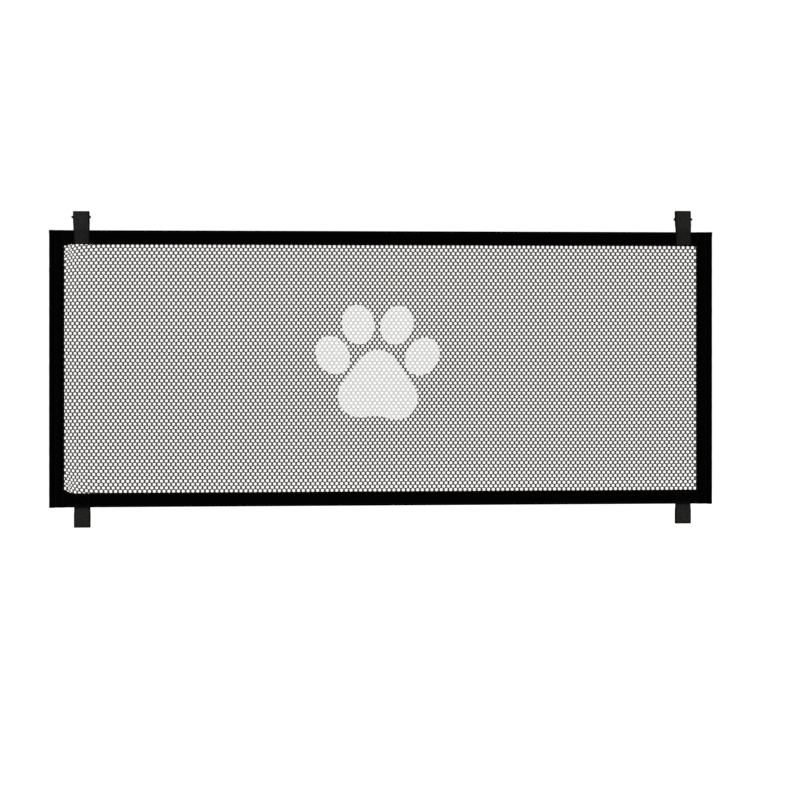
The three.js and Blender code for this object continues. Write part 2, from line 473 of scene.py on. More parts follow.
def ring_quads(start, end, around):
    """The quads from each ring to the next: j, j + 1 on one ring and j + 1, j on the other."""
    here = np.arange(around)
    there = np.roll(here, -1)
    corners = [start + here, start + there, end + there, end + here]
    return np.stack(corners, axis=-1).reshape(-1, 4)


def cap_quads(ring, around, backwards):
    """The quads that close a ring: j, j + 1 on one half meet k - 2 - j, k - 1 - j on the other."""
    j = np.arange(around // 2 - 1)
    corners = [ring + j, ring + j + 1, ring + around - 2 - j, ring + around - 1 - j]
    return np.stack(corners[::-1] if backwards else corners, axis=-1).reshape(-1, 4)


def ringed(name, points, closed_path=False, sharp=50, **measures):
    """Makes a piece from points with the axes shell, ring, point round the ring and xyz."""
    shells, rings, around, _ = points.shape
    first = around * np.arange(shells * rings).reshape(shells, rings, 1)
    if closed_path:
        quads = ring_quads(first, np.roll(first, -1, axis=1), around)
    else:
        sides = ring_quads(first[:, :-1], first[:, 1:], around)
        ends = [cap_quads(first[:, 0], around, True), cap_quads(first[:, -1], around, False)]
        quads = np.concatenate([sides, *ends])
    measures = {key: np.broadcast_to(value, points.shape[:3]) for key, value in measures.items()}
    return mesh_piece(name, points.reshape(-1, 3), quads, measures, sharp)


def finished(piece, material, body="panel", stands_for=()):
    """Gives a piece its material and the body that it moves with, and hides the parts it stands for."""
    piece.data.materials.append(material)
    if body:
        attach(piece, body)
    if stands_for:
        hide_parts(*stands_for)
    return piece


def smooth(value, low, high):
    """0 below low, 1 above high and 3t^2 - 2t^3 between them."""
    t = np.clip((value - low) / (high - low), 0, 1)
    return t * t * (3 - 2 * t)


print("pieces are made of quads between rings")

# %% [markdown]
# ## The net
#
# Gates like this use a warp-knitted net. Its strands all run upwards, and each leans on its left
# neighbour for one row and on its right neighbour for the next. Where two strands lie side by side
# they make a thick upright bar. Where they change neighbours they make a thinner, nearly level
# link, so the holes are rounded bricks that shift by half from row to row. A flat sheet with a
# picture of holes would show no edge and no shadow, so each strand is a real flattened tube.


# %% Two edges of a strand
STRAND_GAP = 6.465 * MM
ROW = 9.04 * MM
STRAND_WIDTH = 2.8 * MM
STRAND_OVERLAP = 0.1 * MM
LINK_HALF = 1.36 * MM

strand_count = round((net_high.x - net_low.x) / STRAND_GAP)
row_count = round((net_high.z - net_low.z) / ROW)
gap = (net_high.x - net_low.x) / strand_count
row = (net_high.z - net_low.z) / row_count
hole_x = gap / 2 - STRAND_WIDTH
joint_x = gap / 2 + STRAND_OVERLAP

# From the middle of a crossing up to the straight bar, as across and up from where the strand
# would hang straight: the edge at the hole, and the edge at the neighbour that it is joined to.
hole_edge = np.array([
    (0.40 * hole_x, 1.05 * LINK_HALF),
    (0.93 * hole_x, 1.50 * LINK_HALF),
    (hole_x, 2.30 * LINK_HALF),
])
joint_edge = np.array([
    (0.57 * joint_x, -0.75 * LINK_HALF),
    (0.96 * joint_x, -0.45 * LINK_HALF),
    (joint_x, 0.80 * LINK_HALF),
])


def whole_row(edge):
    """The edge from one crossing to the bar, then its mirror image from the bar to the next."""
    return np.concatenate([edge, edge[::-1] * (1, -1) + (0, row)])


hole_side, joint_side = whole_row(hole_edge), whole_row(joint_edge)
print(strand_count, "strands of", row_count, "rows, with", len(hole_side), "rings to a row")

# %% [markdown]
# A machine's net is perfect, and a sewn one isn't. It drifts a little between its borders, and at
# the left of this gate the seam is sewn tighter, so that the first meshes are drawn together and
# slant into the two corners. The same function moves every point of the net.


# %% From a perfect net to a sewn one
CREASE_ANGLE = math.radians(51)
CREASE_X, CREASE_Z = math.sin(CREASE_ANGLE), math.cos(CREASE_ANGLE)
CREASE_GATHER = 3.2 * MM
CREASE_REACH = 62 * MM
# How far the left seam draws the net in, in millimetres: everywhere, in waves and at a corner.
SEAM_PULL, PULL_WAVE, CORNER_PULL = 5, 1.4, 8
CORNER_SLANT = 18 * MM
SEAM_RIPPLE = 1.2 * MM
DRIFT_X, DRIFT_Z = 0.7 * MM, 0.8 * MM
BELLY = 0.9 * MM


def relaxed(x, z):
    """Where a point of the perfect net ends up, as x, y and z.

    Slow sines of x and z move it by about a millimetre. Exponentials of the distance from the
    left seam pull it sideways and towards the middle height, most of all near the corners. A
    tanh of the distance beside a line out of each left corner gathers the net into a crease. The
    plane bellies by a millimetre and is flat at the borders: y = depth (1 - u^6)(1 - v^6) sin cos.
    """
    from_left = np.maximum(x + opening_half_width, 0)
    above = z - gate_middle
    upper = np.sign(above)
    inwards = np.maximum(opening_half_height - np.abs(above), 0)
    corner = np.exp(-inwards / (45 * MM))
    tight = SEAM_PULL + PULL_WAVE * np.sin(z / (31 * MM)) + CORNER_PULL * corner
    pull = tight * MM * np.exp(-from_left / (22 * MM))
    slant = CORNER_SLANT * corner * upper * np.exp(-from_left / (26 * MM))
    beside = CREASE_X * from_left - CREASE_Z * inwards
    gathered = -CREASE_GATHER * np.tanh(beside / (8 * MM))
    gathered = gathered * np.exp(-(from_left**2 + inwards**2) / CREASE_REACH**2)
    ripple = SEAM_RIPPLE * np.exp(-from_left / (40 * MM)) * np.sin(z / (57 * MM))
    drift_x = DRIFT_X * np.sin(x / (210 * MM) + 1.3) * np.sin(z / (95 * MM))
    drift_z = DRIFT_Z * np.sin(x / (160 * MM) + z / (240 * MM))
    u = np.clip(x / opening_half_width, -1, 1)
    v = np.clip(above / opening_half_height, -1, 1)
    calm = (1 - u**6) * (1 - v**6)
    belly = BELLY * np.sin(x / (190 * MM)) * np.cos(above / (130 * MM) + x)
    moved_x = x + pull + CREASE_X * gathered + drift_x * calm
    moved_z = z - slant + CREASE_Z * upper * gathered + ripple * (1 - v**6) + drift_z * calm
    return moved_x, belly * calm, moved_z


strand = np.arange(strand_count)[:, None]
row_number, ring = np.divmod(np.arange(len(hole_side) * row_count)[None, :], len(hole_side))
leans_right = (strand + row_number) % 2 == 0


def edge_points(edge):
    """An edge of every strand: mirrored where the strand leans left, then relaxed."""
    across = np.where(leans_right, edge[ring, 0], -edge[ring, 0])
    x = net_low.x + (strand + 0.5) * gap + across
    z = net_low.z + row * row_number + edge[ring, 1] + 0 * strand
    return np.stack(relaxed(x, z), axis=-1)


at_hole, at_joint = edge_points(hole_side), edge_points(joint_side)
left_edge = np.where(leans_right[..., None], at_hole, at_joint)
right_edge = np.where(leans_right[..., None], at_joint, at_hole)
centres = (left_edge + right_edge) / 2
print("the net is", round(float(np.ptp(centres[..., 0])), 3), "m wide as sewn")

# %% [markdown]
# A strand's section is a flat diamond: the two edges, and a ridge between them on the front and on
# the back. The way along a strand and the distance from its middle are kept for the knitted
# pattern of the yarn.

# %% Diamond sections
STRAND_HALF_THICKNESS = 0.45 * MM


def diamonds(grow):
    """Left edge, front ridge, right edge and back ridge, each moved outwards by grow."""
    across = right_edge - left_edge
    aside = grow * across / np.linalg.norm(across, axis=2, keepdims=True)
    ridge = np.array([0.0, STRAND_HALF_THICKNESS + grow, 0.0])
    corners = [left_edge - aside, centres - ridge, right_edge + aside, centres + ridge]
    return np.stack(corners, axis=2)


steps = np.linalg.norm(np.diff(centres, axis=1), axis=2)
along_strand = np.concatenate([np.zeros((strand_count, 1)), np.cumsum(steps, axis=1)], axis=1)
across_strand = np.array([STRAND_WIDTH / 2, 0.0, -STRAND_WIDTH / 2, 0.0])
yarn_rings = diamonds(0.0)
print("a strand is", round(along_strand[:, -1].mean(), 3), "m of yarn")

# %% [markdown]
# The whole net has far more faces than one piece may hold, so it is made as six widths side by
# side, cut between two strands where nothing shows.

# %% The net in six widths
NET_WIDTHS = 6
for number, members in enumerate(np.array_split(np.arange(strand_count), NET_WIDTHS), 1):
    width = ringed(
        f"net_width_{number}",
        yarn_rings[members],
        sharp=80,
        along=along_strand[members][..., None],
        across=across_strand,
    )
    finished(width, net_yarn, stands_for=["net_panel"])

# %% [markdown]
# ## The printed paw
#
# The paw is screen printed in white ink on the yarn, and the holes stay open. A colour switch in
# the yarn's material would blur once its pattern is stored as a picture, so the ink is a thin coat
# of its own, an eighth of a millimetre outside the yarn. One function is positive inside the paw. A
# strand gets a coat where it is positive, and each coat is cut exactly where it passes zero.

# %% Outline of the paw
TOE_HALF_LENGTH = 54 * MM
TOE_HALF_WIDTH = 44 * MM
# Each toe: across and up from the middle of the gate, and the lean of its long axis in degrees.
TOES = [(-71, 119, 102), (-140, 36, 120), (34, 117, 68), (103, 32, 56)]
PAD_CORNERS = np.array([(-18, -7), (-69, -75), (34, -82)]) * MM
PAD_ROUNDING = 57 * MM
HEEL_CENTRE = np.array([-27, -232]) * MM
HEEL_RADIUS = 103.5 * MM


def toe(x, z, across, up, lean):
    """An ellipse: b (1 - sqrt(p^2 / a^2 + q^2 / b^2)), with p and q along its axes."""
    turn = math.radians(lean)
    dx, dz = x - across * MM, z - up * MM
    p = dx * math.cos(turn) + dz * math.sin(turn)
    q = dz * math.cos(turn) - dx * math.sin(turn)
    return TOE_HALF_WIDTH * (1 - np.hypot(p / TOE_HALF_LENGTH, q / TOE_HALF_WIDTH))


def palm(x, z):
    """A triangle grown by a rounding and hollowed by a circle: the lesser of the two depths.

    The distance to a triangle is the least distance to its sides, or 0 inside it, where the
    point is on the same side of all three.
    """
    point = np.stack([x, z], axis=-1)
    distances, turns = [], []
    for start, end in zip(PAD_CORNERS, np.roll(PAD_CORNERS, -1, axis=0)):
        edge, offset = end - start, point - start
        share = np.clip(offset @ edge / (edge @ edge), 0, 1)
        distances.append(np.linalg.norm(offset - share[..., None] * edge, axis=-1))
        turns.append(edge[0] * offset[..., 1] - edge[1] * offset[..., 0] > 0)
    within = np.all(turns, axis=0) | ~np.any(turns, axis=0)
    outside = np.where(within, 0.0, np.min(distances, axis=0))
    return np.minimum(PAD_ROUNDING - outside, np.linalg.norm(point - HEEL_CENTRE, axis=-1) - HEEL_RADIUS)


def paw(x, z):
    """The greatest of the palm and the four toes."""
    return np.max([palm(x, z), *[toe(x, z, *values) for values in TOES]], axis=0)


ink = paw(centres[..., 0], centres[..., 2] - gate_middle)
print("ink on", int((ink > 0).sum()), "rings")

# %% [markdown]
# A ring inside the paw is kept whole. Between a ring inside and the next ring outside, a new ring
# is added at the share a / (a - b) of the way, where the function passes zero, and it is closed by
# a cap. Rings that two lengths of coat share are numbered once, so every run of ink is one closed
# tube.

# %% Coat of ink
INK_THICKNESS = 0.13 * MM

coat_rings = diamonds(INK_THICKNESS)
coated = ink > 0
begins, ends = coated[:, :-1], coated[:, 1:]
cut_strand, cut_ring = np.nonzero(begins != ends)
before, after = ink[cut_strand, cut_ring], ink[cut_strand, cut_ring + 1]
share = (before / (before - after))[:, None, None]
here, there = coat_rings[cut_strand, cut_ring], coat_rings[cut_strand, cut_ring + 1]
whole_number = np.cumsum(coated).reshape(coated.shape) - 1
cut_number = coated.sum() + np.cumsum(begins != ends).reshape(begins.shape) - 1
inked = begins | ends
start_ring = 4 * np.where(begins, whole_number[:, :-1], cut_number)[inked]
end_ring = 4 * np.where(ends, whole_number[:, 1:], cut_number)[inked]
coat_quads = np.concatenate([
    ring_quads(start_ring[:, None], end_ring[:, None], 4),
    cap_quads(4 * cut_number[~begins & ends][:, None], 4, True),
    cap_quads(4 * cut_number[begins & ~ends][:, None], 4, False),
])
coat_points = np.concatenate([coat_rings[coated], here + share * (there - here)])
coat_along = np.concatenate([along_strand[coated], along_strand[cut_strand, cut_ring]])
paw_print = mesh_piece(
    "paw_print",
    coat_points.reshape(-1, 3),
    coat_quads,
    {
        "along": np.repeat(coat_along, 4),
        "across": np.tile(across_strand, len(coat_along)),
    },
    sharp=80,
)
finished(paw_print, print_ink)

print("the coat has", 2 * len(coat_quads), "triangles")

# %% [markdown]
# ## Folded fabric
#
# A border is a strip folded over the edge of the net and sewn through. A ply is thin, but its edge
# shows, so the strip is made with its thickness: a line through the middle of the ply is walked
# once on its outer side and once back on its inner side. Sewing presses the plies together along
# each row of stitches, and the fabric swells between the rows. A little of it happens again at
# each single stitch, which makes the edge of a sewn border ripple.

# %% Plies
PLY = 1.0 * MM
PLY_FROM_MIDDLE = 1.3 * MM
STITCH_PITCH = opening_half_width / round(opening_half_width / (3.8 * MM))
STITCH_PRESS = 0.28 * MM
PRESS_WIDTH = 1.6 * MM


def both_sides(middle, normal, half_thickness):
    """A closed ring: middle + t n walked forwards, then middle - t n walked backwards."""
    outer = middle + half_thickness * normal
    inner = middle - half_thickness * normal
    return np.concatenate([outer, inner[..., ::-1, :]], axis=-2)


def sewn(way, depth, rows):
    """How far a ply is pressed in: a bell across each row, with a cosine for each stitch."""
    each = 0.6 + 0.4 * np.cos(2 * np.pi * way / STITCH_PITCH)
    bells = [np.exp(-(((depth - line) / PRESS_WIDTH) ** 2)) for line in rows]
    return STITCH_PRESS * each * np.sum(bells, axis=0)


def swell(way, depth, rows):
    """How far a ply bulges between its rows: a half sine across, and slow sines along it."""
    low, high = min(rows), max(rows)
    across = np.sin(np.pi * np.clip((depth - low) / (high - low), 0, 1))
    slow = 0.16 + 0.09 * np.sin(way / (13 * MM)) + 0.06 * np.sin(way / (5.3 * MM) + depth / (9 * MM))
    return slow * MM * across


# %% [markdown]
# ### Top and bottom tape
#
# The tape's profile starts at the front edge near the net, goes over the fold and ends at the back
# edge. It is carried along X. Both tapes run on for a little way inside the side sleeves, as they
# do where the corners are sewn over.

# %% Tape along the top and the bottom
TAPE_ROWS = (3 * MM, border_depth - 5 * MM)
TAPE_UNDER_SLEEVE = 12 * MM
FOLD_OUTER = top_high.y
CUT_EDGE_SHARE = 0.55
CORNER_RISE = 9 * MM
CORNER_SPREAD = 13 * MM
TOP_LIFT = 0.5
BOTTOM_LIFT = 1.0

flat_depths = np.array([0, 0.5, 1.8, 3, 4.4, 10, 18, 26, 31.6, 33, 34.4]) * MM
fold_angles = np.radians([-90, -60, -30, 0, 30, 60, 90])


def tape_out(x, depth):
    """Distance of the middle of the ply from the net's plane."""
    return PLY_FROM_MIDDLE - sewn(x, depth, TAPE_ROWS) + swell(x, depth, TAPE_ROWS)


def tape_profile(x):
    """Middles and normals of the ply, as depth and y: the front, the fold and the back."""
    flat = flat_depths * np.ones_like(x)
    y = tape_out(x, flat)
    bend_radius = FOLD_OUTER - PLY / 2
    bend_depth = border_depth - FOLD_OUTER + bend_radius * np.cos(fold_angles) * np.ones_like(x)
    bend_y = bend_radius * np.sin(fold_angles) * np.ones_like(x)
    depth = np.concatenate([flat, bend_depth, flat[:, ::-1]], axis=1)
    out = np.concatenate([-y, bend_y, y[:, ::-1]], axis=1)
    flat_normal = np.tile([0.0, 1.0], (len(flat_depths), 1))
    bend_normal = np.stack([np.cos(fold_angles), np.sin(fold_angles)], axis=-1)
    normal = np.concatenate([-flat_normal, bend_normal, flat_normal])
    return np.stack([depth, out], axis=-1), normal


def corner_lift(x):
    """How far the sewn corner at the left draws the tape's inner edge over the net."""
    return CORNER_RISE * np.exp(-(((x + opening_half_width) / CORNER_SPREAD) ** 2))


def folded_tape(name, node, inner_z, upwards, lift):
    """Carries the profile along X: z is the inner edge plus the depth, less the corner's lift.

    The ply is thinner at its two cut edges. The inner edge wanders a little and the fold doesn't.
    """
    end = opening_half_width + TAPE_UNDER_SLEEVE
    x = np.linspace(-end, end, 4 * round(end / STITCH_PITCH) + 1)[:, None]
    middle, normal = tape_profile(x)
    thin = np.ones(middle.shape[1])
    thin[[0, -1]] = CUT_EDGE_SHARE
    section = both_sides(middle, normal, 0.5 * PLY * thin[:, None])
    wander = 0.35 * MM * np.sin(x / (83 * MM)) + 0.2 * MM * np.sin(x / (29 * MM) + 1)
    near_edge = 1 - section[..., 0] / border_depth
    z = inner_z + upwards * (section[..., 0] + (wander - lift * corner_lift(x)) * near_edge)
    points = np.stack([x * np.ones_like(z), section[..., 1], z], axis=-1)
    tape = ringed(name, points[None], sharp=60, along=x[None], across=section[None, ..., 0])
    finished(tape, border_fabric, stands_for=[node])
    return tape


top_tape = folded_tape("top_tape", "top_border", top_low.z, 1, TOP_LIFT)
folded_tape("bottom_tape", "bottom_border", bottom_high.z, -1, BOTTOM_LIFT)
print("each tape has", 2 * len(top_tape.data.polygons), "triangles")

# %% [markdown]
# ### Side sleeves
#
# A sleeve wraps round its rod and is sewn flat behind it. Pulled fabric can't follow a hollow
# corner: it leaves the rod along a straight line, the tangent from the seam to the circle, so the
# pocket has the outline of a drop. Over the ends of the tapes the plies stand further apart. The
# mouth at the top has a turned hem, which makes the fabric there a little thicker. The right
# sleeve was cut a few millimetres wider, and reaches further over the net.

# %% Drop-shaped pocket
SEAM = 18.5 * MM
RIGHT_REACH = 4.2 * MM
REACH_FROM, REACH_FULL = 12 * MM, 7 * MM
HEM = 10 * MM
OVER_TAPE = 1.15 * MM

rod_centre = half_width - (rod_low.x + rod_high.x) / 2
wrap_radius = rod_centre - PLY / 2
seam_reach = math.hypot(SEAM - rod_centre, PLY_FROM_MIDDLE)
seam_angle = math.atan2(PLY_FROM_MIDDLE, SEAM - rod_centre)
touch_angle = seam_angle + math.acos(wrap_radius / seam_reach)
blade = np.array([0, 0.5, 1.8, 3, 4.4, 7, 10, 12, 14, 17, 20, 21.5]) * MM
wrap_angles = np.linspace(touch_angle, 2 * math.pi - touch_angle, 23)
flat_sleeve_width = 2 * (
    sleeve_width - SEAM
    + math.sqrt(seam_reach**2 - wrap_radius**2)
    + wrap_radius * (math.pi - touch_angle)
)


def sleeve_rows(reach):
    """Insets of the two rows: the pocket seam and the seam near the inner edge."""
    return SEAM, sleeve_width + reach - 3 * MM


def sleeve_out(z, inset, reach):
    """Distance of the flat ply from the net's plane, where inset is measured from the outside."""
    from_end = np.minimum(gate_high - z, z - gate_low)
    tape_end = sleeve_width - TAPE_UNDER_SLEEVE
    near_tape = smooth(-from_end, -border_depth - 5 * MM, -border_depth + 3 * MM)
    over = near_tape * smooth(inset, tape_end - 6 * MM, tape_end)
    rows = sleeve_rows(reach)
    pressed = sewn(z - gate_middle, inset, rows) - swell(z, inset, rows)
    return PLY_FROM_MIDDLE - pressed + OVER_TAPE * over


def sleeve_profile(z, reach):
    """Middles and normals of the ply, as inset and y: the front blade, the wrap, the back blade."""
    widened = reach * smooth(-blade, -REACH_FROM, -REACH_FULL)
    flat = (sleeve_width - blade + widened) * np.ones_like(z)
    y = sleeve_out(z, flat, reach)
    wrap = np.stack([np.cos(wrap_angles), np.sin(wrap_angles)], axis=-1)
    wrap_inset = rod_centre + wrap_radius * wrap[:, 0] * np.ones_like(z)
    wrap_y = -wrap_radius * wrap[:, 1] * np.ones_like(z)
    inset = np.concatenate([flat, wrap_inset, flat[:, ::-1]], axis=1)
    out = np.concatenate([-y, wrap_y, y[:, ::-1]], axis=1)
    flat_normal = np.tile([0.0, 1.0], (len(blade), 1))
    normal = np.concatenate([-flat_normal, wrap * (1, -1), flat_normal])
    return np.stack([inset, out], axis=-1), normal


def side_sleeve(name, node, outwards, reach):
    """Carries the profile up Z: x is the gate's half width less the inset, on either side."""
    steps_up = 2 * round((gate_high - gate_low) / STITCH_PITCH)
    z = np.linspace(gate_low, gate_high, steps_up + 1)[:, None]
    middle, normal = sleeve_profile(z, reach)
    hem = 0.25 * MM * smooth(z, gate_high - HEM - 1.5 * MM, gate_high - HEM)
    creases = 0.12 * MM * np.sin(z / (7 * MM)) * np.sin(z / (41 * MM))
    thick = (0.5 * PLY + hem)[..., None]
    middle = middle + (hem + creases)[..., None] * normal
    section = both_sides(middle, normal, thick)
    x = outwards * (half_width - section[..., 0])
    points = np.stack([x, section[..., 1], z * np.ones_like(x)], axis=-1)
    walked = np.linalg.norm(np.diff(middle, axis=1, prepend=middle[:, :1]), axis=2).cumsum(axis=1)
    across = np.concatenate([walked, walked[:, ::-1]], axis=1)
    sleeve = ringed(name, points[None], sharp=60, along=z[None], across=across[None])
    finished(sleeve, border_fabric, stands_for=[node])
    flat = (flat_sleeve_width + 2 * reach, gate_high - gate_low)
    return sleeve


left_wrap = side_sleeve("left_rod_sleeve", "left_sleeve", -1, 0.0)
side_sleeve("right_rod_sleeve", "right_sleeve", 1, RIGHT_REACH)
print("each sleeve has", 2 * len(left_wrap.data.polygons), "triangles")

# %% [markdown]
# ## Turned and moulded parts
#
# The rods, caps and bars are round, so each is a profile of radius and height turned about an axis.
# The rod is a tube, whose profile is a closed loop with rounded rims. A cap has a low dome, a
# moulded dimple in its middle and three ribs on the stem that grip the rod. A profile that ends at
# its axis stops at a small radius, and the ring there is closed with quads.


# %% Turning a profile
POLE = 0.3 * MM
SEGMENTS = 48
ARC_POINTS = 6
MOULD_LINE_WIDTH = 0.06
MOULD_LINE_FROM = 1.5 * MM


def turned(name, profile, centre, axis, closed_path=False, seam=0.0):
    """Points centre + r cos a, r sin a across the axis and h along it, for each a round a circle.

    The seam is the height of the thin line that the two halves of a mould leave at both sides.
    """
    radius, height = np.array(profile).T
    angle = np.linspace(0, 2 * np.pi, SEGMENTS, endpoint=False)
    line = seam * np.exp(-((np.sin(angle) / MOULD_LINE_WIDTH) ** 2))
    reach = radius[:, None] + line * (radius[:, None] > MOULD_LINE_FROM)
    parts = [reach * np.cos(angle), reach * np.sin(angle), height[:, None] * np.ones(SEGMENTS)]
    order = {"x": (2, 0, 1), "z": (0, 1, 2)}[axis]
    points = np.stack([parts[index] for index in order], axis=-1) + np.array(centre)
    return ringed(name, points[None], closed_path=closed_path, sharp=35)


def arc(centre, radius, start, end):
    """Points of an arc in a profile: centre + radius (cos a, sin a), in degrees."""
    angle = np.radians(np.linspace(start, end, ARC_POINTS))
    return [(centre[0] + radius * math.cos(a), centre[1] + radius * math.sin(a)) for a in angle]


def tube_profile(outer, inner, length, rim):
    """A tube's wall: up the outside, over a rounded rim, down the inside and under the other."""
    return [
        *arc((outer - rim, rim), rim, -90, 0),
        *arc((outer - rim, length - rim), rim, 0, 90),
        *arc((inner + rim, length - rim), rim, 90, 180),
        *arc((inner + rim, rim), rim, 180, 270),
    ]


def cap_profile(head_radius, head, stem_radius, stem):
    """A cap from the end of its stem to the dimple in its dome."""
    rib = 0.22 * MM
    rib_half_height = 0.5 * MM
    waist = stem_radius - rib
    bevel = 0.8 * MM
    edge = 0.7 * MM
    shoulder, under_head = 0.3 * MM, 0.05 * MM
    dome_rise, dome_top = 0.25 * MM, 0.04 * MM
    dimple_radius, dimple_depth = 1.5 * MM, 0.3 * MM
    ribs = []
    for level in (-0.75 * stem, -0.5 * stem, -0.25 * stem):
        below, above = level - rib_half_height, level + rib_half_height
        ribs += [(waist, below), (stem_radius, level), (waist, above)]
    return [
        (POLE, -stem),
        (stem_radius - bevel, -stem),
        (waist, bevel - stem),
        *ribs,
        (waist, -under_head),
        (head_radius - shoulder, 0.0),
        (head_radius, shoulder),
        *arc((head_radius - edge, head - edge - dome_rise), edge, 0, 70),
        (0.55 * head_radius, head - dome_top),
        (dimple_radius, head),
        (0.8 * dimple_radius, head - 0.8 * dimple_depth),
        (POLE, head - dimple_depth),
    ]


print("profiles are turned in", SEGMENTS, "steps")

# %% [markdown]
# The rod stands in the pocket with a cap pushed into each end. The caps' heads rest on its rims.
# At the foot of each pocket a round patch of the border fabric closes it, so the rod can't drop
# out.

# %% Rods, caps and pocket floors
ROD_WALL = 1.5 * MM
RIM_ROUNDING = 0.35 * MM
CAP_CLEARANCE = 0.1 * MM
PATCH_RADIUS = wrap_radius - PLY / 2 - 0.1 * MM
PATCH_THICKNESS = 2.6 * MM
PATCH_EDGE = 0.5 * MM

for side_name in ("left", "right"):
    body = f"{side_name}_support_rod"
    low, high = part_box(f"{side_name}_rod")
    centre_x = (low.x + high.x) / 2
    radius = (high.x - low.x) / 2
    profile = tube_profile(radius, radius - ROD_WALL, high.z - low.z, RIM_ROUNDING)
    tube = turned(f"{side_name}_tube", profile, (centre_x, 0, low.z), "z", closed_path=True)
    finished(tube, rod_plastic, body, [f"{side_name}_rod"])

    for end_name, turn in (("top", 1), ("bottom", -1)):
        node = f"{side_name}_rod_{end_name}_cap"
        cap_low, cap_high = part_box(node)
        rim = high.z if turn > 0 else low.z
        head = cap_high.z - rim if turn > 0 else rim - cap_low.z
        stem = rim - cap_low.z if turn > 0 else cap_high.z - rim
        head_radius = (cap_high.x - cap_low.x) / 2
        shape = cap_profile(head_radius, head, radius - ROD_WALL - CAP_CLEARANCE, stem)
        shape = [(r, turn * h) for r, h in shape]
        cap = turned(f"{side_name}_{end_name}_plug", shape, (centre_x, 0, rim), "z", seam=0.04 * MM)
        finished(cap, cap_plastic, body, [node])

    edge_x = PATCH_RADIUS - PATCH_EDGE
    patch_profile = [
        (POLE, 0.0),
        *arc((edge_x, PATCH_EDGE), PATCH_EDGE, -90, 0),
        *arc((edge_x, PATCH_THICKNESS - PATCH_EDGE), PATCH_EDGE, 0, 90),
        (POLE, PATCH_THICKNESS),
    ]
    patch = turned(f"{side_name}_pocket_floor", patch_profile, (centre_x, 0, gate_low), "z")
    finished(patch, border_fabric)
print("rods, caps and pocket floors are in place")

# %% [markdown]
# A short bar lies across each upper loop and keeps it open round the hook. Its heads are domed and
# a little wider than the shaft, and the mould has left a fine line along both sides.

# %% Hanging bars
SHAFT_RADIUS = 3.0 * MM
HEAD_LENGTH = 2.2 * MM
HEAD_ROUNDING = 1.1 * MM
DOME_INSET, DOME_RISE = 2.2 * MM, 0.12 * MM
BEVEL_IN, BEVEL_ALONG = 0.35 * MM, 0.4 * MM
FILLET_OUT, FILLET_START, FILLET_END = 0.12 * MM, 0.05 * MM, 0.4 * MM

for side_name in ("left", "right"):
    node = f"{side_name}_hanging_bar"
    low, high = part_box(node)
    head_radius = (high.z - low.z) / 2
    length = high.x - low.x
    half = [
        (POLE, 0.0),
        (head_radius - DOME_INSET, DOME_RISE),
        *arc((head_radius - HEAD_ROUNDING, HEAD_ROUNDING), HEAD_ROUNDING, -70, 0),
        (head_radius, HEAD_LENGTH - BEVEL_ALONG),
        (head_radius - BEVEL_IN, HEAD_LENGTH),
        (SHAFT_RADIUS + FILLET_OUT, HEAD_LENGTH + FILLET_START),
        (SHAFT_RADIUS, HEAD_LENGTH + FILLET_END),
    ]
    profile = half + [(r, length - h) for r, h in reversed(half)]
    middle_of_bar = (low.x, (low.y + high.y) / 2, (low.z + high.z) / 2)
    bar = turned(f"{side_name}_bar", profile, middle_of_bar, "x", seam=0.06 * MM)
    finished(bar, bar_plastic, f"{side_name}_bar", [node])
    print(bar.name, "is", round(length / MM, 1), "mm long")

# %% [markdown]
# ## Straps
#
# Each strap is one length of webbing, doubled, with both ends sewn to the border. It is made as one
# ribbon, from its end next to the border, up one ply, round the nose of the loop and down the
# other ply. In the sewn root the plies touch. Past the fold they part and leave room for a hook.
# Nobody folds webbing quite straight, so one ply lies a little to the side of the other and the
# upper loops lean to the left.

# %% Ribbon of webbing
WEBBING_THICKNESS = 1.6 * MM
ROOT_HALF_GAP = WEBBING_THICKNESS / 2 + 0.02 * MM
HOLLOW_STARTS = 5.5 * MM
HOLLOW_FULL = 19.5 * MM
RIB_DEPTH = 0.13 * MM
PLY_SLIP = 0.2 * MM
SELVEDGE_WIDTH = 1.2 * MM
# Each strap, with 1 where it points up and -1 where it points down.
CORNERS = {"top_left": 1, "top_right": 1, "bottom_left": -1, "bottom_right": -1}
LEAN = {"top_left": -1.2 * MM, "top_right": -2.2 * MM}


def strap_line(fold, tip, half_hollow):
    """The middle line of the doubled ribbon, as distance from its plane and height.

    The height is measured from the sewn end. The gap opens by a smooth step past the fold, and
    the nose is half a circle. The line goes up on one side, round the nose and down on the other.
    """
    nose_radius = half_hollow + WEBBING_THICKNESS / 2
    nose_height = tip - half_hollow - WEBBING_THICKNESS
    height = np.concatenate([np.linspace(0, fold, 18)[:-1], np.linspace(fold, nose_height, 40)])
    opened = smooth(height, fold + HOLLOW_STARTS, fold + HOLLOW_FULL)
    out = ROOT_HALF_GAP + (nose_radius - ROOT_HALF_GAP) * opened
    angle = np.linspace(np.pi, 0, 17)[1:-1]
    nose = np.stack([nose_radius * np.cos(angle), nose_height + nose_radius * np.sin(angle)], -1)
    up = np.stack([-out, height], axis=-1)
    down = np.stack([out, height], axis=-1)[::-1]
    return np.concatenate([up, nose, down])


